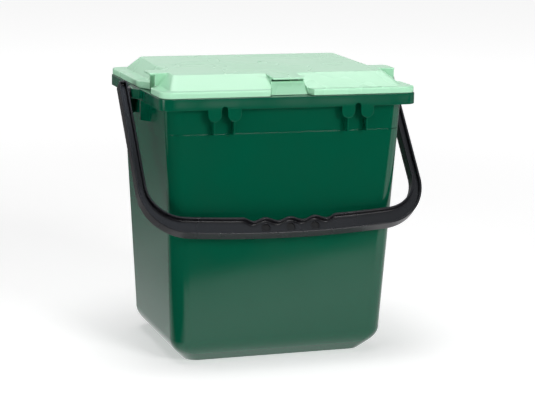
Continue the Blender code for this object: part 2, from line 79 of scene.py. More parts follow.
def closedMesh(name, points, faces):
    mesh = bpy.data.meshes.new(name)
    shape = bmesh.new()
    corners = [shape.verts.new(Vector(point) * mm) for point in points]
    for face in faces:
        shape.faces.new([corners[index] for index in face])
    bmesh.ops.recalc_face_normals(shape, faces=shape.faces)
    shape.to_mesh(mesh)
    shape.free()
    item = bpy.data.objects.new(name, mesh)
    bpy.context.collection.objects.link(item)
    return item


def mix(first, second, share):
    return first + (second - first) * share


def curvePoint(start, bend, end, t):
    return start * (1 - t) ** 2 + bend * (2 * t * (1 - t)) + end * t ** 2


def quarterTurns(steps):
    return [math.pi / 2 * k / steps for k in range(steps + 1)]


def sideEnds(side, inner, outer):
    # the two x from low to high, on the left or right side
    return sorted((side * inner, side * outer))


def plateRow(front, back, radius, height, steps=14, sides=1):
    # rounded rectangle; front and back are (half width, y), sides splits its straight sides
    corners = ((front, 1, -1), (back, 1, 1), (back, -1, 1), (front, -1, -1))
    arcs = []
    for place, ((half, y), side, way) in enumerate(corners):
        arc = []
        for step in range(steps + 1):
            turn = math.radians(90 * (place - 1) + 90 * step / steps)
            x = side * (half - radius) + radius * math.cos(turn)
            arc.append((x, y - way * radius + radius * math.sin(turn)))
        arcs.append(arc)
    flat = []
    for place, arc in enumerate(arcs):
        flat += arc
        (ax, ay), (bx, by) = arc[-1], arcs[(place + 1) % 4][0]
        flat += [(ax + (bx - ax) * k / sides, ay + (by - ay) * k / sides) for k in range(1, sides)]
    return [Vector((x, y, height(y) if callable(height) else height)) for x, y in flat]


def boxRow(x, y, radius, height):
    return plateRow((x, -y), (x, y), radius, height)


def softFold(before, at, after, reach, steps=5):
    # rows that round the fold at the middle row, over at most 0.45 of each side
    rows = []
    for k in range(steps + 1):
        row = []
        for p, q, r in zip(before, at, after):
            start = q + (p - q).normalized() * min(reach, 0.45 * (p - q).length)
            end = q + (r - q).normalized() * min(reach, 0.45 * (r - q).length)
            row.append(curvePoint(start, q, end, k / steps))
        rows.append(row)
    return rows


def ringQuads(count, rings):
    # faces between neighbouring rings of count points each
    for low in range(0, (rings - 1) * count, count):
        for place in range(count):
            after = (place + 1) % count
            yield low + place, low + after, low + count + after, low + count + place


def skin(name, rows, folded=False):
    # folded splits the sides in triangles, alike left and right
    count = len(rows[0])
    points = [point for row in rows for point in row]
    faces = []
    for a, b, c, d in ringQuads(count, len(rows)):
        if folded and points[a][0] + points[b][0] > 0:
            faces += [(a, b, c), (a, c, d)]
        elif folded:
            faces += [(a, b, d), (b, c, d)]
        else:
            faces.append((a, b, c, d))
    faces.append(tuple(range(count)))
    faces.append(tuple(range(len(points) - count, len(points))))
    return closedMesh(name, points, faces)


def arcPoints(centre, radius, start=0.0, end=360.0, steps=48):
    full = abs(end - start - 360) < 1e-6
    count = steps if full else steps + 1
    turns = [math.radians(start + (end - start) * k / steps) for k in range(count)]
    return [(centre[0] + radius * math.cos(t), centre[1] + radius * math.sin(t)) for t in turns]


def insetOutline(outline, inset):
    # moves each side of a closed outline in by inset; sharp corners are kept from running away
    sharpest = 0.35
    area = sum(a[0] * b[1] - b[0] * a[1] for a, b in zip(outline, outline[1:] + outline[:1]))
    way = 1 if area > 0 else -1
    result = []
    for k, corner in enumerate(outline):
        here = Vector(corner)
        before = (here - Vector(outline[k - 1])).normalized()
        after = (Vector(outline[(k + 1) % len(outline)]) - here).normalized()
        normalBefore = Vector((-before.y, before.x)) * way
        normalAfter = Vector((-after.y, after.x)) * way
        middle = (normalBefore + normalAfter).normalized()
        stretch = 1 / max(middle.dot(normalAfter), sharpest)
        result.append(tuple(here + middle * inset * stretch))
    return result


def roundCorners(outline, radii, steps=6):
    # fillets the corners of an outline, each by its own radius, over at most 0.48 of each side
    result = []
    for k, radius in enumerate(radii):
        here = Vector(outline[k])
        if not radius:
            result.append(tuple(here))
            continue
        before = Vector(outline[k - 1]) - here
        after = Vector(outline[(k + 1) % len(outline)]) - here
        reach = min(radius / math.tan(before.angle(after) / 2), 0.48 * before.length, 0.48 * after.length)
        start = here + before.normalized() * reach
        end = here + after.normalized() * reach
        result += [tuple(curvePoint(start, here, end, step / steps)) for step in range(steps + 1)]
    return result


def pushedOutline(name, outline, axis, low, high, lowEdge=0.0, highEdge=0.0, lift=None, steps=4):
    # outline pushed along an axis, with its end edges rounded; lift adds a height that depends on y
    lowTurns = quarterTurns(steps) if lowEdge else [0]
    highTurns = quarterTurns(steps)[::-1] if highEdge else [0]
    levels = [(lowEdge * (1 - math.sin(t)), low + lowEdge * (1 - math.cos(t))) for t in lowTurns]
    levels += [(highEdge * (1 - math.sin(t)), high - highEdge * (1 - math.cos(t))) for t in highTurns]
    rows = []
    for inset, depth in levels:
        row = []
        for first, second in insetOutline(outline, inset) if inset > 1e-9 else outline:
            places = {"X": (depth, first, second), "Y": (first, depth, second), "Z": (first, second, depth)}
            point = Vector(places[axis])
            if lift:
                point.z += lift(point.y)
            row.append(point)
        rows.append(row)
    return skin(name, rows)


def block(name, low, high):
    # block between two four-cornered faces
    faces = [(0, 1, 2, 3), (4, 5, 6, 7), (0, 1, 5, 4), (1, 2, 6, 5), (2, 3, 7, 6), (3, 0, 4, 7)]
    return closedMesh(name, list(low) + list(high), faces)


def applyModifiers(item):
    bpy.context.view_layer.update()
    graph = bpy.context.evaluated_depsgraph_get()
    mesh = bpy.data.meshes.new_from_object(item.evaluated_get(graph))
    item.modifiers.clear()
    item.data = mesh


def combine(body, tool, operation):
    step = body.modifiers.new("combine", "BOOLEAN")
    step.operation = operation
    step.object = tool
    step.solver = "EXACT"
    applyModifiers(body)
    bpy.data.objects.remove(tool)


def add(body, *tools):
    for tool in tools:
        combine(body, tool, "UNION")


def cut(body, *tools):
    for tool in tools:
        combine(body, tool, "DIFFERENCE")


def finishPiece(item, name, material, node, sharpFrom=32):
    # shades a finished piece, keeps flat faces flat, and puts it in its node's place
    item.data.materials.clear()
    item.data.materials.append(material)
    for face in item.data.polygons:
        face.material_index = 0
    item.data.shade_smooth()
    item.data.set_sharp_from_angle(angle=math.radians(sharpFrom))
    step = item.modifiers.new("normals", "WEIGHTED_NORMAL")
    step.keep_sharp = True
    step.weight = 60
    applyModifiers(item)
    item.name = item.data.name = name
    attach(item, node)
    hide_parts(node)


# Finishes

def linear(hexColour):
    values = [int(hexColour[k:k + 2], 16) / 255 for k in (1, 3, 5)]
    return [v / 12.92 if v <= 0.04045 else ((v + 0.055) / 1.055) ** 2.4 for v in values] + [1.0]


def addNode(tree, kind, inputs=None, **settings):
    node = tree.nodes.new(kind)
    for name, value in settings.items():
        setattr(node, name, value)
    for name, value in (inputs or {}).items():
        if isinstance(value, bpy.types.NodeSocket):
            tree.links.new(value, node.inputs[name])
        else:
            node.inputs[name].default_value = value
    return node


def newTree(name):
    material = bpy.data.materials.new(name)
    material.use_nodes = True
    material.node_tree.nodes.clear()
    return material, material.node_tree


def polypropylene(name, finish):
    # injection-moulded polypropylene: a clear even skin whose colour and shine cloud a little,
    # soft edges, and flats that sink very slightly, so that what they mirror wavers
    smoother, rougher = 0.02, 0.04
    material, tree = newTree(name)
    place = addNode(tree, "ShaderNodeTexCoord").outputs["Object"]
    cloud = addNode(tree, "ShaderNodeTexNoise", {
        "Vector": place, "Scale": 1 / (finish["cloud"] * mm), "Detail": 2.0, "Roughness": 0.5})
    colours = {"A": linear(finish["colour"]), "B": linear(finish["colourDeep"])}
    shade = addNode(tree, "ShaderNodeMix", {"Factor": cloud.outputs["Fac"], **colours}, data_type="RGBA")
    haze = addNode(tree, "ShaderNodeMapRange", {
        "Value": cloud.outputs["Fac"], "From Min": 0.3, "From Max": 0.7,
        "To Min": finish["roughness"] - smoother, "To Max": finish["roughness"] + rougher})
    edge = addNode(tree, "ShaderNodeBevel", {"Radius": finish["edge"] * mm}, samples=6)
    swell = addNode(tree, "ShaderNodeTexNoise", {
        "Vector": place, "Scale": 1 / (finish["swell"] * mm), "Detail": 1.0, "Roughness": 0.4})
    waver = addNode(tree, "ShaderNodeBump", {
        "Height": swell.outputs["Fac"], "Strength": 1.0, "Distance": finish["swellDepth"] * mm,
        "Normal": edge.outputs["Normal"]})
    shader = addNode(tree, "ShaderNodeBsdfPrincipled", {
        "Base Color": shade.outputs["Result"], "Roughness": haze.outputs["Result"], "IOR": 1.49,
        "Normal": waver.outputs["Normal"]})
    addNode(tree, "ShaderNodeOutputMaterial", {"Surface": shader.outputs["BSDF"]})
    return material


# high gloss: the grip, the rim and the table mirror in its sides
greenFinish = {
    "colour": "#00513A", "colourDeep": "#004E38", "roughness": 0.11,
    "edge": 0.2, "cloud": 60, "swell": 45, "swellDepth": 0.05}
# satin gloss: broad soft lights and light edges
mintFinish = {
    "colour": "#ADE3C0", "colourDeep": "#A8E0BC", "roughness": 0.26,
    "edge": 1.0, "cloud": 60, "swell": 90, "swellDepth": 0.01}
# half gloss: thin light lines along the flanges of a near-black handle
blackFinish = {
    "colour": "#1B1B1F", "colourDeep": "#17171B", "roughness": 0.27,
    "edge": 0.25, "cloud": 30, "swell": 30, "swellDepth": 0.03}
# floor of the dimples: matt, and coloured darker than the handle as painted shade, so they read as dark discs in
# the glossy web
shadedDimpleFinish = {**blackFinish, "colour": "#121214", "colourDeep": "#101012", "roughness": 0.7}

darkGreen = polypropylene("injection_moulded_dark_green_polypropylene", greenFinish)
mint = polypropylene("injection_moulded_mint_polypropylene", mintFinish)
black = polypropylene("injection_moulded_black_polypropylene", blackFinish)
shadedDimpleBlack = polypropylene("matt_black_polypropylene_painted_shade", shadedDimpleFinish)
print("finishes made")


# Tub

tub = {
    "halfX": 130.0, "halfY": 105.4, "height": 267.0,
    "rimCorner": 11.6, "skirtHeight": 11.0, "skirtWall": 2.2, "rimEdge": 0.4,
    "wall": 2.2, "overhang": 9.5, "wallCornerTop": 15.3, "wallCornerFoot": 18.7,
    "sideTaper": 10.5, "frontTaper": 11.4, "outerLevels": (60.0, 120.0, 180.0), "innerLevel": 150.0,
    "footHeight": 25.8, "slopeHeight": 9.3, "slopeInset": 8.3, "baseInset": 17.8, "baseCorner": 12.3,
    "baseEdge": 1.2, "floor": 2.6, "stepHeight": 230.5, "stepDepth": 0.6,
    "lobeWidth": 13.4, "lobeDrop": 11.7, "lobePlaces": (57.8, 77.5), "lobeNotch": 3.0, "lobeEdge": 0.5,
    "rib": 1.4, "ribFoot": 0.6, "ribEdge": 0.2,
    "sink": 1.1,   # how deep an added part is set into the wall that carries it
    "pivotY": -3.7, "pivotZ": 261.5, "bore": 3.3,
    "earFace": 135.2, "earLength": 22, "earSlope": 8, "earCorner": 2.5, "earEdge": 0.7,
    "housingLength": 46, "housingSlope": 20, "housingDrop": 19.5, "housingWall": 2,
    "housingCorner": 0.5, "housingEdge": 0.3,
    "axisY": 112.5, "axisZ": 266.5, "hingePlace": 60, "bar": 3.2, "clipWidth": 14, "clipSide": 0.5,
    "hingeEar": 3, "hingeEarRadius": 5, "hingeEarFoot": 8.5, "hingeEarEdge": 0.5,
}
skirtFoot = tub["height"] - tub["skirtHeight"]
wallHalfX = tub["halfX"] - tub["overhang"]
wallHalfY = tub["halfY"] - tub["overhang"]


def wallHalf(z):
    share = (skirtFoot - z) / (skirtFoot - tub["footHeight"])
    return wallHalfX - tub["sideTaper"] * share, wallHalfY - tub["frontTaper"] * share


def wallRow(z, inset=0.0, ledge=0.0):
    share = (skirtFoot - z) / (skirtFoot - tub["footHeight"])
    corner = mix(tub["wallCornerTop"], tub["wallCornerFoot"], share)
    x, y = wallHalf(z)
    return boxRow(x - inset, y - inset - ledge, max(corner - inset, 2.0), z)


def footRows(inset, bottom, steps=14):
    # the wall curves in to a slope, and the slope meets the flat base in a small round
    footX, footY = wallHalf(tub["footHeight"])
    slope = (tub["baseInset"] - tub["slopeInset"]) / tub["slopeHeight"]
    bend = min(tub["slopeHeight"] + tub["slopeInset"] / slope, tub["footHeight"])

    def level(inward, z):
        corner = mix(tub["wallCornerFoot"], tub["baseCorner"], 1 - z / tub["footHeight"])
        raised = bottom + z * (tub["footHeight"] - bottom) / tub["footHeight"]
        return boxRow(footX - inward - inset, footY - inward - inset, max(corner - inset, 2.0), raised)

    curve = []
    for k in range(steps + 1):
        t = k / steps
        z = curvePoint(tub["slopeHeight"], bend, tub["footHeight"], t)
        curve.append(level(tub["slopeInset"] * (1 - t) ** 2, z))
    base = level(tub["baseInset"], 0.0)
    inner = level(tub["baseInset"] + 6, 0.0)   # only gives the fold its direction
    return softFold(inner, base, curve[0], tub["baseEdge"], 4) + curve


def edgeArc(x, y, corner, z, radius, start, end, steps=5):
    # rows round an edge of the rim; z is the arc's centre, angles in degrees from outwards
    rows = []
    for k in range(steps + 1):
        turn = math.radians(start + (end - start) * k / steps)
        out = radius * math.cos(turn) - radius
        rows.append(boxRow(x + out, y + out, max(corner + out, 1.0), z + radius * math.sin(turn)))
    return rows


def tubShell():
    # up the outside, round the rim and its skirt, and down the inside
    edge, thick = tub["rimEdge"], tub["wall"]
    ledge, depth = tub["stepHeight"], tub["stepDepth"]
    rimUnder = tub["height"] - thick
    rows = footRows(0.0, 0.0) + [wallRow(z) for z in tub["outerLevels"]]
    levels = (
        (ledge - 0.25, 0.0), (ledge, 0.0), (ledge + 0.2, 0.55 * depth), (ledge + 0.5, depth), (rimUnder, depth))
    rows += [wallRow(z, 0.0, out) for z, out in levels]
    inX, inY = tub["halfX"] - tub["skirtWall"], tub["halfY"] - tub["skirtWall"]
    inCorner = tub["rimCorner"] - tub["skirtWall"]
    for out, z in ((0.0, rimUnder), (0.0, skirtFoot + 0.4), (0.12, skirtFoot + 0.12), (0.4, skirtFoot)):
        rows.append(boxRow(inX + out, inY + out, inCorner + out, z))
    rim = tub["halfX"], tub["halfY"], tub["rimCorner"]
    rows += edgeArc(*rim, skirtFoot + edge, edge, -90, 0)
    rows += edgeArc(*rim, tub["height"] - edge, edge, 0, 90)
    x, y = wallHalf(tub["height"])
    mouthX, mouthY, mouthCorner = x - thick, y - thick - depth, tub["wallCornerTop"] - thick
    for turn in quarterTurns(4):
        out = edge * (1 - math.sin(turn))
        z = tub["height"] - edge * (1 - math.cos(turn))
        rows.append(boxRow(mouthX + out, mouthY + out, mouthCorner + out, z))
    rows += [wallRow(ledge + 0.3, thick, depth), wallRow(ledge - 0.3, thick), wallRow(tub["innerLevel"], thick)]
    rows += reversed(footRows(thick, tub["floor"]))
    return skin("tub_shell", rows)


def lobeOutline(centre):
    radius = tub["lobeWidth"] / 2
    low = skirtFoot - tub["lobeDrop"] + radius
    top = tub["height"] - 4
    return [(centre - radius, top)] + arcPoints((centre, low), radius, 180, 360, 24) + [(centre + radius, top)]


def addLobes(body):
    # two pairs of lobes on the front of the skirt, an arch between each two and a rib behind each
    front = -tub["halfY"]
    back = front + tub["skirtWall"]
    foot, top = tub["stepHeight"] + tub["ribFoot"], tub["height"] - tub["sink"]
    atFoot, atTop = (-wallHalf(z)[1] + tub["stepDepth"] + 1.0 for z in (foot, tub["height"]))
    lip = front + tub["sink"]
    rib = [(atFoot, foot), (lip, foot), (lip, top), (atTop, top)]
    inner, outer = tub["lobePlaces"]
    for side in (-1, 1):
        for place in tub["lobePlaces"]:
            centre = side * place
            lobe = lobeOutline(centre)
            add(body, pushedOutline("lobe", lobe, "Y", front + 0.02, back - 0.05, tub["lobeEdge"], 0.3))
            ends = centre - tub["rib"] / 2, centre + tub["rib"] / 2
            add(body, pushedOutline("rib", rib, "X", *ends, tub["ribEdge"], tub["ribEdge"]))
        space = (outer - inner - tub["lobeWidth"]) / 2
        middle = side * (inner + outer) / 2
        low = skirtFoot - tub["lobeDrop"]
        arch = arcPoints((middle, skirtFoot + tub["lobeNotch"] - space), space, 0, 180, 16)
        arch = [(middle - space, low), (middle + space, low)] + arch
        cut(body, pushedOutline("arch", arch, "Y", front - 2, back + 0.5))


def swelling(name, length, slope, root, reach, low, high, side, corner=0.0, edge=0.0):
    # flat-topped swelling on a side of the tub, a trapezium from above
    middle, half = tub["pivotY"], length / 2
    outline = [
        (side * root, middle - half - slope), (side * reach, middle - half),
        (side * reach, middle + half), (side * root, middle + half + slope)]
    if corner:
        outline = roundCorners(outline, [0, corner, corner, 0])
    return pushedOutline(name, outline, "Z", low, high, edge, edge)


def cheekSpace(name, side, reach, high):
    # space between the two slanted cheeks, open below and at its outer side
    low = skirtFoot - tub["housingDrop"]
    lean = tub["housingSlope"] / (tub["halfX"] - wallHalf(low)[0] + tub["sink"])
    inner = wallHalf(tub["height"])[0] + 0.6
    half = tub["housingLength"] / 2 - tub["housingWall"] * math.hypot(1, lean) + lean * (tub["halfX"] - reach)
    return swelling(name, 2 * half, lean * (reach - inner), inner, reach, low - 2, high, side)


def addPivots(body):
    # ear that carries each pin, and two cheeks under the rim behind it
    low = skirtFoot - tub["housingDrop"]
    thick, sink = tub["housingWall"], tub["sink"]
    skirtIn = tub["halfX"] - tub["skirtWall"]
    rimUnder = tub["height"] - tub["wall"]
    for side in (-1, 1):
        add(body, swelling(
            "housing", tub["housingLength"], tub["housingSlope"], wallHalf(low)[0] - sink, tub["halfX"] - 0.05,
            low, tub["height"] - sink, side, tub["housingCorner"], tub["housingEdge"]))
        add(body, swelling(
            "ear", tub["earLength"], tub["earSlope"], tub["halfX"] - sink, tub["earFace"],
            skirtFoot + 0.5, tub["height"] - 0.9, side, tub["earCorner"], tub["earEdge"]))
        cut(body, cheekSpace("pocket", side, skirtIn - 0.03, rimUnder - 0.03))
        cut(body, cheekSpace("open_side", side, tub["halfX"] + 2, skirtFoot - 0.2))
        cut(body, swelling(
            "ear_pocket", tub["earLength"] - 2 * thick, 0.6 * tub["earSlope"], skirtIn - 1, tub["earFace"] - thick,
            skirtFoot - 1, rimUnder, side, 1.0))
        ends = sideEnds(side, skirtIn - 1, tub["earFace"] + 1)
        cut(body, pushedOutline("bore", arcPoints((tub["pivotY"], tub["pivotZ"]), tub["bore"]), "X", *ends))


def addHingeBars(body):
    # pairs of ears behind the rim, each with a round bar for the lid's clip
    centre = (tub["axisY"], tub["axisZ"])
    inner = tub["clipWidth"] / 2 + tub["clipSide"]
    foot, root = tub["axisZ"] - tub["hingeEarFoot"], tub["halfY"] - tub["sink"]
    ear = [(root, foot)] + arcPoints(centre, tub["hingeEarRadius"], -90, 90, 24) + [(root, tub["axisZ"])]
    for side in (-1, 1):
        middle = side * tub["hingePlace"]
        for way in (-1, 1):
            ends = sorted((middle + way * inner, middle + way * (inner + tub["hingeEar"])))
            add(body, pushedOutline("hinge_ear", ear, "X", *ends, tub["hingeEarEdge"], tub["hingeEarEdge"]))
        reach = inner + tub["hingeEar"] / 2
        add(body, pushedOutline("bar", arcPoints(centre, tub["bar"]), "X", middle - reach, middle + reach))


tubBody = tubShell()
addLobes(tubBody)
addPivots(tubBody)
addHingeBars(tubBody)
finishPiece(tubBody, "tub_moulding", darkGreen, "tub")
print("tub made", len(tubBody.data.polygons))


# Lid

lid = {
    "halfX": 129.1, "halfY": 104.5, "corner": 10.7, "wall": 2.0, "floor": 267.3, "lip": 6.2, "lipRound": 1.3,
    "footFront": 6.6, "footBack": 6.1, "footSideFront": 10.6, "footSideBack": 13.1, "footFillet": 1.2,
    "riseFront": 18.3, "riseBack": 20.7, "topFront": 68, "topBack": 73,
    "topHalfFront": 108.0, "topHalfBack": 106.3, "topCorner": 5.0, "fold": 1.6,
    "ringDrop": 4.0, "ringWall": 1.6, "ringClearance": 1.8,
    "wingFront": -50.5, "wingBack": -26, "wingReach": 127.0, "wingCorner": 5, "wingWallReach": 122.1,
    "wingRoot": 12, "wingCove": 3.2,
    "pocketReach": 114.5, "pocketFront": -48.6, "pocketBack": -31.5, "finWall": 1.7, "finFoot": 6.6,
    "notchFront": -63, "notchBack": -30, "notchSlope": 14.2,
    "tabHalf": 16, "tabFront": 93.0, "tabRise": 16.7, "tabRoot": 6, "tabCorner": 1.2, "tabSideGap": 0.2,
    "recessHalfLow": 18.8, "mouthHalf": 22.0, "recessDepthLow": 8.6, "recessDepthHigh": 16.3,
    "tabShadow": 2.0, "tabShadowBack": 9, "tabHollowBack": 5.3,
    "clipWall": 2.2, "clipEdge": 0.4, "clipOpenFrom": 215, "clipOpenTo": 295.7, "heel": 1.8, "heelAt": 314,
    "gateMark": (5, 14), "gateRadius": 2.2,
}


def topHeight(y):
    share = (y + lid["topFront"]) / (lid["topFront"] + lid["topBack"])
    return tub["height"] + lid["riseFront"] + (lid["riseBack"] - lid["riseFront"]) * share


def tabHeight(y):
    share = (y + lid["tabFront"]) / (lid["tabFront"] - lid["topFront"])
    return tub["height"] + lid["tabRise"] + (lid["riseFront"] - lid["tabRise"]) * share


def lidForm(name, inset, low, drop):
    # main form of the lid; inset and drop make the hollow in it, with slopes about as thick as the walls
    x, y, corner = lid["halfX"] - inset, lid["halfY"] - inset, lid["corner"] - inset
    lip = lid["floor"] + lid["lip"] - drop
    foot = (
        (lid["halfX"] - lid["footSideFront"] - 0.6 * inset, -lid["halfY"] + lid["footFront"] + 0.3 * inset),
        (lid["halfX"] - lid["footSideBack"] - 0.6 * inset, lid["halfY"] - lid["footBack"] - 0.3 * inset))
    top = (
        (lid["topHalfFront"] - 0.4 * inset, -lid["topFront"] + 0.2 * inset),
        (lid["topHalfBack"] - 0.4 * inset, lid["topBack"] - 0.2 * inset))

    def row(front, back, radius, height):
        return plateRow(front, back, radius, height, sides=6)

    def lipRow(out, z):
        return row((x - out, -y + out), (x - out, y - out), corner - out, z)

    def level(place):
        return topHeight(place) - drop

    footRow = row(*foot, 0.8 * lid["corner"], lip + 0.1)
    topRow = row(*top, lid["topCorner"], level)
    if inset:
        steps = ((0, low), (0, lip - 0.4), (0.12, lip - 0.12), (0.4, lip))
        return skin(name, [lipRow(*step) for step in steps] + [footRow, topRow], True)
    soft = lid["lipRound"]
    rows = [lipRow(0.35, low), lipRow(0.1, low + 0.1), lipRow(0, low + 0.35)]
    rows += [lipRow(soft * (1 - math.cos(t)), lip - soft + soft * math.sin(t)) for t in quarterTurns(6)]
    innerTop = row((top[0][0] - 8, top[0][1] + 8), (top[1][0] - 8, top[1][1] - 8), lid["topCorner"], level)
    rows += softFold(rows[-1], footRow, topRow, lid["footFillet"], 4)
    rows += softFold(footRow, topRow, innerTop, lid["fold"], 5)
    return skin(name, rows, True)


def sideNotch(name, side, grow, high):
    # opens the lip and the side slope at the wing, with a slanted back end
    inner, outer = lid["wingWallReach"] - grow, lid["halfX"] + 4
    front, back = lid["notchFront"] - grow, lid["notchBack"] + grow
    slope = lid["notchSlope"] / (lid["halfX"] - lid["wingWallReach"])
    outline = [
        (side * inner, front), (side * outer, front),
        (side * outer, back + slope * (outer - lid["wingWallReach"])), (side * inner, back)]
    return pushedOutline(name, outline, "Z", lid["floor"] - 3, high)


def uprightBlock(name, xEnds, yEnds, low, drop):
    # block whose top runs along the lid's top, drop below it
    corners = [(xEnds[0], yEnds[0]), (xEnds[1], yEnds[0]), (xEnds[1], yEnds[1]), (xEnds[0], yEnds[1])]
    foot = [(x, y, low) for x, y in corners]
    return block(name, foot, [(x, y, topHeight(y) - drop) for x, y in corners])


def recessBlock(name, grow, far, low, high, shift=0.0):
    # the finger recess between two heights, from its slanted back wall to far
    rise = tabHeight(-lid["tabFront"]) - lid["wall"] - lid["floor"]
    faces = []
    for z in (low, high):
        share = (z - lid["floor"]) / rise
        half = mix(lid["recessHalfLow"], lid["tabHalf"] + lid["tabSideGap"], share) + grow
        depth = mix(lid["recessDepthLow"], lid["recessDepthHigh"], share) + grow
        edge = -lid["halfY"] + depth + shift
        faces.append([(-half, edge, z), (half, edge, z), (half, far, z), (-half, far, z)])
    return block(name, *faces)


def recessMouth(name, grow):
    # opening of the lip in front of the recess, wider towards the outside
    lipDepth = lid["recessDepthLow"] - 0.5
    depth = lipDepth + grow
    inner = lid["recessHalfLow"] + lid["tabSideGap"] + grow
    outer = inner + (lid["mouthHalf"] - lid["recessHalfLow"]) / lipDepth * (depth + lid["tabRoot"])
    yInner, yOuter = -lid["halfY"] + depth, -lid["halfY"] - lid["tabRoot"]
    outline = [(-inner, yInner), (inner, yInner), (outer, yOuter), (-outer, yOuter)]
    return pushedOutline(name, outline, "Z", lid["floor"] - 1.5, lid["floor"] + lid["lip"] + 0.6)


def wingOutline(side, inner):
    reach, front, back, corner = (lid[key] for key in ("wingReach", "wingFront", "wingBack", "wingCorner"))
    points = [(inner, front), (reach - 0.8, front), (reach - 0.23, front + 0.23), (reach, front + 0.8)]
    points += arcPoints((reach - corner, back - corner), corner, 0, 90, 10) + [(inner, back)]
    return [(side * x, y) for x, y in points]


def locatingBand(name, slim, low, high):
    # the ring that hangs inside the tub's mouth, or with slim 0 the space that it needs
    out = tub["wall"] + tub["stepDepth"] + lid["ringClearance"] + slim
    corner = tub["wallCornerTop"] - out
    wide = out + lid["ringWall"] - 2 * slim
    band = skin(name, [boxRow(wallHalfX - out, wallHalfY - out, corner, z) for z in (low, high)])
    inside = [boxRow(wallHalfX - wide, wallHalfY - wide, corner - wide + out, z) for z in (low - 1, high + 1)]
    cut(band, skin("band_inside", inside))
    return band


def addClips(body):
    # arms that reach over the rim and snap on the tub's hinge bars
    centre = (tub["axisY"], tub["axisZ"])
    bore = tub["bar"] + 0.3
    outer = bore + lid["clipWall"]
    edges = lid["clipEdge"], lid["clipEdge"]
    root, foot = lid["halfY"] - 1.2, lid["floor"] + 0.2
    high = lid["floor"] + lid["lip"] - lid["lipRound"]
    arm = [(root, foot), (centre[0], foot), (centre[0], centre[1] + outer), (root, high)]
    turn = math.radians(lid["heelAt"])
    spot = (centre[0] + (outer - 0.3) * math.cos(turn), centre[1] + (outer - 0.3) * math.sin(turn))
    mouth = [centre] + arcPoints(centre, 2 * outer, lid["clipOpenFrom"], lid["clipOpenTo"], 12)
    for side in (-1, 1):
        low, top = (side * tub["hingePlace"] + way * tub["clipWidth"] / 2 for way in (-1, 1))
        clip = pushedOutline("clip", arcPoints(centre, outer), "X", low, top, *edges)
        add(clip, pushedOutline("arm", arm, "X", low + 0.1, top - 0.1, *edges))
        heel = arcPoints(spot, lid["heel"], steps=24)
        add(clip, pushedOutline("heel", heel, "X", low + 0.2, top - 0.2, 0.3, 0.3))
        cut(clip, pushedOutline("bore", arcPoints(centre, bore), "X", low - 1, top + 1))
        cut(clip, pushedOutline("mouth", mouth, "X", low - 1, top + 1))
        add(body, clip)


def slopePoint(side, y):
    # where the side slope meets the top panel's edge and the margin, at y
    def between(front, back, yFront, yBack):
        return front + (back - front) * (y - yFront) / (yBack - yFront)

    yFoot = -lid["halfY"] + lid["footFront"], lid["halfY"] - lid["footBack"]
    foot = lid["halfX"] - between(lid["footSideFront"], lid["footSideBack"], *yFoot)
    top = between(lid["topHalfFront"], lid["topHalfBack"], -lid["topFront"], lid["topBack"])
    return Vector((side * top, y, topHeight(y))), Vector((side * foot, y, lid["floor"] + lid["lip"] + 0.1))


def wingPocket(name, side, grow):
    # finger pocket under the wing's plate, open to the side
    ends = sideEnds(side, lid["pocketReach"] - grow, lid["halfX"] + 4)
    spread = lid["pocketFront"] - grow, lid["pocketBack"] + grow
    return uprightBlock(name, ends, spread, lid["floor"] - 1.7 - grow, 2.5 - grow)


def wingCove(side):
    # hollow fillet between the wing's front and the side slope
    front, reach, sunk = lid["wingFront"] + 0.1, lid["wingCove"], 0.6
    high, low = slopePoint(side, front)
    along = (high - low).normalized()
    slope = (slopePoint(side, front - 10)[1] - low).normalized()
    forward = (slope - along * slope.dot(along)).normalized()
    outward = Vector((along.z * side, 0, -along.x * side))
    section = [outward * -sunk + forward * -sunk, outward * reach - forward * sunk]
    for k in range(9):
        t = k / 8
        section.append(outward * reach * (1 - t) ** 2 + forward * reach * t ** 2)
    section.append(forward * reach - outward * sunk)
    ends = low - along * 1.2, high + along * 4
    cove = skin("cove", [[spot + part for part in section] for spot in ends])
    above = [[(side * 60, -90, z), (side * 140, -90, z), (side * 140, 0, z), (side * 60, 0, z)]
             for z in (topHeight(front) - 1.2, 320)]
    cut(cove, block("above", *above))
    return cove


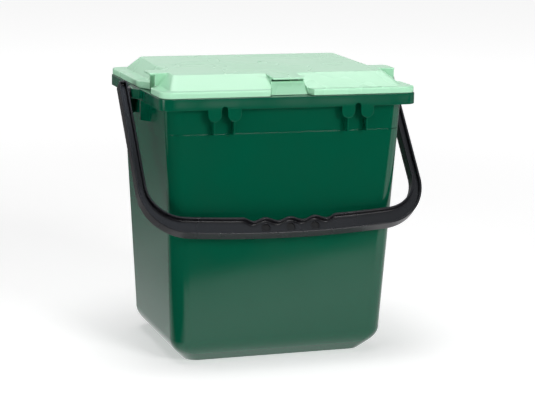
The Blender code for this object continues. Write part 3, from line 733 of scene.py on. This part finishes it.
def makeLid():
    soft = 0.1   # keeps faces of joined parts out of one plane
    floor, wall, topEdge = lid["floor"], lid["wall"], -lid["topFront"]
    tall = tub["height"] + lid["riseBack"]
    underTab = tabHeight(-lid["tabFront"]) - wall
    outside = -lid["halfY"] - lid["tabRoot"]
    body = lidForm("lid_form", 0.0, floor, 0.0)
    hollow = lidForm("hollow", wall, floor - 1, wall)
    for side in (-1, 1):
        cut(body, sideNotch("notch", side, 0.0, tall))
        cut(hollow, sideNotch("keep", side, wall, tall))
    add(body, recessBlock("tab_block", soft, topEdge + lid["tabRoot"], floor + soft, underTab + 0.6))
    cut(body, recessBlock("recess", 0.0, outside, floor - 1, underTab + 3), recessMouth("mouth", 0.0))
    cut(hollow, recessBlock("keep_recess", wall, outside, floor - 2, tall), recessMouth("keep_mouth", wall))
    far = topEdge + lid["tabRoot"] - lid["tabShadowBack"]
    cut(body, recessBlock("tab_shadow", -0.3, far, underTab - lid["tabShadow"], underTab + 0.3))
    far, shift = topEdge + 2 * lid["tabRoot"], 2 * wall + lid["tabHollowBack"]
    add(hollow, recessBlock("tab_hollow", -wall, far, floor - 1, underTab, shift))

    thick = wall + 0.3
    inner = lid["topHalfBack"] - lid["wingRoot"]
    wallFront, wallBack = lid["wingFront"], lid["wingBack"] - lid["wingCorner"]
    for side in (-1, 1):
        ends = sideEnds(side, inner, lid["wingWallReach"] - soft)
        add(body, uprightBlock("wing", ends, (wallFront + soft, wallBack), floor + soft, 1), wingCove(side))
        plate = wingOutline(side, inner)
        add(body, pushedOutline("wing_plate", plate, "Z", -wall - soft, -soft, 0.25, 0.6, topHeight))
        ends = sideEnds(side, inner - 4, lid["wingWallReach"] - thick)
        add(hollow, uprightBlock("wing_hollow", ends, (wallFront + thick, wallBack - thick), floor - 1.3, thick))
        cut(body, wingPocket("pocket", side, 0.0))
        cut(hollow, wingPocket("keep_pocket", side, 1.6))
    # the photograph shows the right wing's front closed to its end, and the left one open
    ends = lid["wingWallReach"] - 2, lid["wingReach"] - 0.5
    spread = wallFront + 0.15, wallFront + lid["finWall"]
    add(body, uprightBlock("fin", ends, spread, floor + lid["finFoot"], 1.05))

    cut(hollow, locatingBand("upper_band", 0.0, floor - 3, floor + lid["lip"] - 0.2))
    cut(body, hollow)
    half, front, root = lid["tabHalf"], -lid["tabFront"], topEdge + 2 * wall
    tab = [(-half, front), (half, front), (half, root), (-half, root)]
    tab = roundCorners(tab, [lid["tabCorner"], lid["tabCorner"], 0, 0])
    add(body, pushedOutline("tab", tab, "Z", -wall - soft, -soft, 0.4, 0.7, tabHeight))
    add(body, locatingBand("lower_band", 0.2, tub["height"] - lid["ringDrop"], floor + 1.5))
    addClips(body)
    gate = arcPoints(lid["gateMark"], lid["gateRadius"], steps=32)
    level = topHeight(lid["gateMark"][1])
    cut(body, pushedOutline("gate", gate, "Z", level - 0.3, level + 1, 0.2))
    return body


lidBody = makeLid()
finishPiece(lidBody, "lid_moulding", mint, "lid")
print("lid made", len(lidBody.data.polygons))


# Handle, drawn in its own plane: x across, s down from the pins, n out of the plane to the front

handle = {
    "armOuter": 146.4, "armWidth": 9.2, "depth": 11.5, "armTop": 10.1, "endCorner": 3.2,
    "reach": 167.9, "gripHeight": 18.2, "outerBend": 50, "innerBend": 36, "bendSweep": 85,
    "web": 3.0, "flange": 2.0, "flangeEdge": 0.55, "webFillet": 0.7, "draft": 0.15,
    "fingerPitch": 25.3, "fingerWave": 1.9, "fingerRise": 2.1, "waveEnd": 9.8,
    "padPlace": 86, "padLength": 12, "padReach": 3.0, "padHeight": 3.0, "padEdge": 0.5,
    "dimple": 4.2, "dimpleDepth": 0.9, "dimpleLift": 8.6, "dimpleCollar": 0.9,
    "boss": 6.2, "pin": 3.0, "pinEnd": 124.3, "pinEdge": 0.6,
    "lean": 39.8524,   # degrees from hanging straight, where the pads meet the tub
}
armInner = handle["armOuter"] - handle["armWidth"]
gripTop = handle["reach"] - handle["gripHeight"]


def crownArch(half, level):
    rise = half / 2 * math.tan(math.radians(90 - handle["bendSweep"]))
    return lambda x: level - rise * (x / half) ** 2


def fingerWave(x):
    reach = 1.5 * handle["fingerPitch"]
    if abs(x) <= reach:
        return handle["fingerRise"] - handle["fingerWave"] * math.cos(2 * math.pi * x / handle["fingerPitch"])
    if abs(x) >= reach + handle["waveEnd"]:
        return 0.0
    share = (abs(x) - reach) / handle["waveEnd"]
    return (handle["fingerRise"] + handle["fingerWave"]) * (1 + math.cos(math.pi * share)) / 2


def bentEdge(edgeX, radius, level, lift):
    # one edge of the handle from the right arm round both bends to the left arm
    bendSteps, gripSteps = 28, 96
    sweep = math.radians(handle["bendSweep"])
    centreX = edgeX - radius
    endX = centreX + radius * math.cos(sweep)
    arch = crownArch(endX, level)
    centreS = arch(endX) - radius * math.sin(sweep)
    half = []
    for k in range(bendSteps + 1):
        turn = sweep * k / bendSteps
        half.append((centreX + radius * math.cos(turn), centreS + radius * math.sin(turn)))
    for k in range(1, gripSteps + 1):
        x = endX * (1 - k / gripSteps)
        half.append((x, arch(x) + lift(x)))
    return half + [(-x, s) for x, s in reversed(half[:-1])]


def armEnd(side, inset):
    # flat upper end of an arm with two rounded corners
    corner = max(handle["endCorner"] - inset, 0.5)
    reach = handle["armWidth"] / 2 - inset - corner
    middle = side * (handle["armOuter"] - handle["armWidth"] / 2)
    level = corner + inset - handle["armTop"]
    left = arcPoints((middle - reach, level), corner, 180, 270, 10)
    return left + arcPoints((middle + reach, level), corner, 270, 360, 10)


def bailRows(inset):
    # outer edge, left end, inner edge and right end of the handle, moved in by inset
    outerX, outerS = handle["armOuter"] - inset, handle["reach"] - inset
    outer = bentEdge(outerX, handle["outerBend"] - inset, outerS, lambda x: 0.0)
    inner = bentEdge(armInner + inset, handle["innerBend"] + inset, gripTop + inset, fingerWave)
    return outer, armEnd(-1, inset), inner, armEnd(1, inset)


def sectionSteps():
    # (inset, height above the mid plane) from the middle of the flange's outside over to the web
    half, edge, fillet = handle["depth"] / 2, handle["flangeEdge"], handle["webFillet"]
    flange, web, draft = handle["flange"], handle["web"] / 2, handle["draft"]
    small = 0.7 * edge
    turns = quarterTurns(4)
    steps = [(0.0, 0.0), (0.0, half - edge)]
    steps += [(edge * (1 - math.cos(t)), half - edge + edge * math.sin(t)) for t in turns[1:]]
    steps += [(flange - small + small * math.sin(t), half - small + small * math.cos(t)) for t in turns]
    steps += [(flange + draft + fillet * (1 - math.cos(t)), web + fillet - fillet * math.sin(t)) for t in turns]
    return steps


def makeBail():
    levels = sectionSteps()
    levels = [(inset, -n) for inset, n in reversed(levels)] + levels[1:]
    points = []
    for inset, n in levels:
        outer, left, inner, right = bailRows(inset)
        points += [(x, -n, -s) for x, s in outer + left + inner[::-1] + right]
    count = len(points) // len(levels)
    faces = list(ringQuads(count, len(levels)))
    run, arc = len(outer), len(left)
    for start in (0, (len(levels) - 1) * count):
        outerEnd, innerEnd = start + run - 1, start + 2 * run + arc - 1
        # web between the two flanges, column by column, then its two ends
        faces += [(start + k, start + k + 1, innerEnd - k - 1, innerEnd - k) for k in range(run - 1)]
        faces.append([outerEnd + k for k in range(arc + 2)])
        faces.append([innerEnd + k for k in range(arc + 1)] + [start])
    return closedMesh("bail", points, faces)


def addRestPads(body):
    # two pads on the back of the grip, which rest against the tub
    endX = armInner - handle["innerBend"] + handle["innerBend"] * math.cos(math.radians(handle["bendSweep"]))
    top = crownArch(endX, gripTop)(handle["padPlace"] + handle["padLength"] / 2)
    back, half = handle["depth"] / 2, handle["padLength"] / 2
    inside, outside = back - handle["flange"], back + handle["padReach"]
    low, high = -top - handle["padHeight"], -top - 0.2
    edge = handle["padEdge"]
    pad = roundCorners([(inside, high), (outside, high), (outside, low), (inside, low)], [0, edge, edge, 0], 3)
    for side in (-1, 1):
        ends = sideEnds(side, handle["padPlace"] - half, handle["padPlace"] + half)
        add(body, pushedOutline("pad", pad, "X", *ends, edge, edge))


def makeHandle():
    # leaned to rest at the end; floors are the faces at the bottom of the dimples
    body = makeBail()
    addRestPads(body)
    front = -handle["web"] / 2
    floor = front + handle["dimpleDepth"]
    spots = []
    for place in (-1, 0, 1):
        spot = place * handle["fingerPitch"], handle["dimpleLift"] - handle["reach"]
        collar = arcPoints(spot, handle["dimple"] + handle["dimpleCollar"], steps=40)
        dimple = arcPoints(spot, handle["dimple"], steps=40)
        add(body, pushedOutline("collar", collar, "Y", front - 0.35, front + 0.5, 0.3))
        cut(body, pushedOutline("dimple", dimple, "Y", front - 2, floor, 0, 0.35))
        spots.append(Vector((spot[0], floor, spot[1])))
    edge = handle["pinEdge"]
    for side in (-1, 1):
        ends = sideEnds(side, tub["earFace"] + 0.3, armInner + 1)
        add(body, pushedOutline("boss", arcPoints((0, 0), handle["boss"]), "X", *ends))
        ends = sideEnds(side, handle["pinEnd"], armInner + 1)
        edges = (edge, 0) if side > 0 else (0, edge)
        add(body, pushedOutline("pin", arcPoints((0, 0), handle["pin"]), "X", *ends, *edges))

    def onFloor(point):
        return any((point - spot).length < handle["dimple"] + 0.2 and abs(point.y - floor) < 0.4 for spot in spots)

    floors = [face.index for face in body.data.polygons if onFloor(face.center / mm)]
    turn = Matrix.Rotation(-math.radians(handle["lean"]), 4, "X")
    place = Matrix.Translation(Vector((0, tub["pivotY"], tub["pivotZ"])) * mm)
    body.data.transform(place @ turn)
    return body, floors


handleBody, dimpleFloors = makeHandle()
finishPiece(handleBody, "bail_handle", black, "handle")
# the dimple floors take the darker matt finish: painted shade in the dimples
handleBody.data.materials.append(shadedDimpleBlack)
for index in dimpleFloors:
    handleBody.data.polygons[index].material_index = 1
print("handle made", len(handleBody.data.polygons))


# Studio: white paper, three soft lamps, and sheets of light that only the gloss sees
# places and sizes in metres; a sheet is its two x, then y and z at one edge and at the other

studio = {
    "paper": "#E6E6E6",
    "paperPlace": ((-9, 9), (-9, 0), (9, 0)),
    "paperGlow": (0.46, 0.84),      # close to the caddy and far from it, as the paper is lit from below
    "glowReach": (0.45, 2.2),
    "shinePlace": ((-2, 2), (-1.2, 0.0004), (2.3, 0.0004)),
    "tableShine": (   # distance along the view from the middle, and brightness
        (-0.335, 0.0), (-0.3, 0.9), (-0.2, 1.12), (-0.1, 0.95), (0.02, 0.75),
        (0.3, 0.84), (0.45, 0.6), (0.7, 0.38), (0.95, 0.3)),
    "shineLeft": ((-0.34, 0.42), (-0.03, 1.0)),
    "shineCorner": (-0.1, -0.12),   # left of it the shine ends further back, along a slanted edge
    "shineLean": 0.3,
    "streakPlace": ((-0.09, 0.22), (-0.2, 0.2452), (-0.2, 0.2512)),
    "streakBright": (0.15, 1.3),
    "streakPatch": 26.0,            # patches in a metre
    "lamps": {   # watts, place and size
        "soft_box": (31.0, (0.80, -2.25, 1.10), 0.8),
        "overhead": (26.0, (-0.1, -0.1, 2.1), 1.3),
        "left_card": (11.0, (-2.1, -0.6, 0.35), 1.0),
    },
    "lampAim": (0, 0, 0.15),
    "cards": {   # brightness, colour and place
        "backdrop": (0.85, "#FFFFFF", ((-2.5, 2.5), (2.4, 0.35), (2.4, 1.4))),
        "top_card": (0.6, "#EEF8FF", ((-1.1, 1.1), (-1.4, 2.0), (-0.15, 2.0))),
        "arm_card": (0.9, "#D8E8FF", ((-0.4, 0.25), (-0.37, 0.9), (-0.1, 0.9))),
        "back_card": (3.4, "#FFFFFF", ((-0.9, 1.4), (1.15, 2.0), (1.75, 1.7))),
    },
    "room": ((-0.3, 0.01), (0.9, 0.3)),   # from dark in front to lighter at the back
}


def stageSheet(name, place, material):
    (left, right), (y, z), (farY, farZ) = place
    mesh = bpy.data.meshes.new(name)
    mesh.from_pydata([(left, y, z), (right, y, z), (right, farY, farZ), (left, farY, farZ)], [], [(0, 1, 2, 3)])
    item = bpy.data.objects.new(name, mesh)
    bpy.context.collection.objects.link(item)
    mesh.materials.append(material)
    return item


def onlyGloss(item):
    item.visible_camera = item.visible_diffuse = item.visible_shadow = item.visible_transmission = False


def addFloor():
    paper, tree = newTree("matt_white_paper")   # even and matt, no gloss spot
    place = addNode(tree, "ShaderNodeTexCoord").outputs["Object"]
    far = addNode(tree, "ShaderNodeVectorMath", {0: place}, operation="LENGTH")
    (near, wide), (dim, bright) = studio["glowReach"], studio["paperGlow"]
    glow = addNode(tree, "ShaderNodeMapRange", {
        "Value": far.outputs["Value"], "From Min": near, "From Max": wide,
        "To Min": dim, "To Max": bright}, interpolation_type="SMOOTHSTEP")
    shader = addNode(tree, "ShaderNodeBsdfPrincipled", {
        "Base Color": linear(studio["paper"]), "Roughness": 0.9, "Specular IOR Level": 0.0,
        "Emission Color": (1, 1, 1, 1), "Emission Strength": glow.outputs["Result"]})
    addNode(tree, "ShaderNodeOutputMaterial", {"Surface": shader.outputs["BSDF"]})
    stageSheet("paper_sweep", studio["paperPlace"], paper).visible_glossy = False


def addTableShine():
    # what the gloss sees of the table: bright close by, dimmer to the left, ending in the dark room in front
    shine, tree = newTree("table_shine")
    place = addNode(tree, "ShaderNodeTexCoord").outputs["Object"]
    turn = math.radians(-cameraSetup["turn"])
    along, across = (
        addNode(tree, "ShaderNodeVectorMath", {0: place, 1: way}, operation="DOT_PRODUCT").outputs["Value"]
        for way in ((math.sin(turn), math.cos(turn), 0), (math.cos(turn), -math.sin(turn), 0)))
    stops = studio["tableShine"]
    first, last = stops[0][0], stops[-1][0]
    share = addNode(tree, "ShaderNodeMapRange", {"Value": along, "From Min": first, "From Max": last})
    ramp = addNode(tree, "ShaderNodeValToRGB", {"Fac": share.outputs["Result"]})
    marks = ramp.color_ramp.elements
    for y, bright in stops[1:-1]:
        marks.new((y - first) / (last - first))
    for mark, (y, bright) in zip(marks, stops):   # at half strength, because a ramp ends at 1
        mark.color = (bright / 2, bright / 2, bright / 2, 1)
    (leftEnd, leftBright), (rightEnd, rightBright) = studio["shineLeft"]
    fall = addNode(tree, "ShaderNodeMapRange", {
        "Value": across, "From Min": leftEnd, "From Max": rightEnd,
        "To Min": 2 * leftBright, "To Max": 2 * rightBright}, interpolation_type="SMOOTHSTEP")
    left = addNode(tree, "ShaderNodeMath", {0: across, 1: -1.0}, operation="MULTIPLY")
    cornerX, cornerY = studio["shineCorner"]
    lean = addNode(tree, "ShaderNodeMapRange", {
        "Value": left.outputs["Value"], "From Min": -cornerX, "From Max": 1 - cornerX,
        "To Min": cornerY, "To Max": cornerY + studio["shineLean"]})
    past = addNode(tree, "ShaderNodeMath", {0: along, 1: lean.outputs["Result"]}, operation="SUBTRACT")
    edge = addNode(tree, "ShaderNodeMapRange", {
        "Value": past.outputs["Value"], "From Min": -0.02, "From Max": 0.03})
    beside = addNode(tree, "ShaderNodeMapRange", {
        "Value": across, "From Min": cornerX - 0.02, "From Max": cornerX + 0.02})
    shown = addNode(tree, "ShaderNodeMath", {
        0: edge.outputs["Result"], 1: beside.outputs["Result"]}, operation="MAXIMUM")
    strength = addNode(tree, "ShaderNodeMath", {
        0: shown.outputs["Value"], 1: fall.outputs["Result"]}, operation="MULTIPLY")
    light = addNode(tree, "ShaderNodeEmission", {
        "Color": ramp.outputs["Color"], "Strength": strength.outputs["Value"]})
    addNode(tree, "ShaderNodeOutputMaterial", {"Surface": light.outputs["Emission"]})
    onlyGloss(stageSheet("table_shine", studio["shinePlace"], shine))


def addWindowStreak():
    # a broken bright line close in front, which the upright rim mirrors as faint streaks
    streak, tree = newTree("window_streak")
    place = addNode(tree, "ShaderNodeTexCoord").outputs["Object"]
    wide = addNode(tree, "ShaderNodeMapping", {"Vector": place, "Scale": (1, 1, 0.15)}).outputs["Vector"]
    patch = addNode(tree, "ShaderNodeTexNoise", {
        "Vector": wide, "Scale": studio["streakPatch"], "Detail": 3.0, "Roughness": 0.6})
    faint, bright = studio["streakBright"]
    strength = addNode(tree, "ShaderNodeMapRange", {
        "Value": patch.outputs["Fac"], "From Min": 0.35, "From Max": 0.68, "To Min": faint, "To Max": bright})
    light = addNode(tree, "ShaderNodeEmission", {"Strength": strength.outputs["Result"]})
    addNode(tree, "ShaderNodeOutputMaterial", {"Surface": light.outputs["Emission"]})
    onlyGloss(stageSheet("window_streak", studio["streakPlace"], streak))


def addRoom():
    room = bpy.data.worlds.new("studio")
    room.use_nodes = True
    tree = room.node_tree
    tree.nodes.clear()
    place = addNode(tree, "ShaderNodeTexCoord").outputs["Generated"]
    way = addNode(tree, "ShaderNodeSeparateXYZ", {"Vector": place})
    (front, dark), (back, light) = studio["room"]
    share = addNode(tree, "ShaderNodeMapRange", {
        "Value": way.outputs["Y"], "From Min": front, "From Max": back, "To Min": dark, "To Max": light})
    sky = addNode(tree, "ShaderNodeBackground", {"Strength": share.outputs["Result"]})
    addNode(tree, "ShaderNodeOutputWorld", {"Surface": sky.outputs["Background"]})
    bpy.context.scene.world = room
    bpy.context.scene.view_settings.view_transform = "Standard"


def addStudio():
    addFloor()
    addTableShine()
    addWindowStreak()
    for name, (bright, colour, place) in studio["cards"].items():
        glow, tree = newTree(name)
        light = addNode(tree, "ShaderNodeEmission", {"Color": linear(colour), "Strength": bright})
        addNode(tree, "ShaderNodeOutputMaterial", {"Surface": light.outputs["Emission"]})
        onlyGloss(stageSheet(name, place, glow))
    for name, (power, place, size) in studio["lamps"].items():
        lamp = bpy.data.lights.new(name, "AREA")
        lamp.energy = power
        lamp.size = size
        item = bpy.data.objects.new(name, lamp)
        bpy.context.collection.objects.link(item)
        item.location = place
        aim = Vector(studio["lampAim"]) - Vector(place)
        item.rotation_euler = aim.to_track_quat("-Z", "Y").to_euler()
        item.visible_camera = False
    addRoom()


addStudio()
print("studio lit")
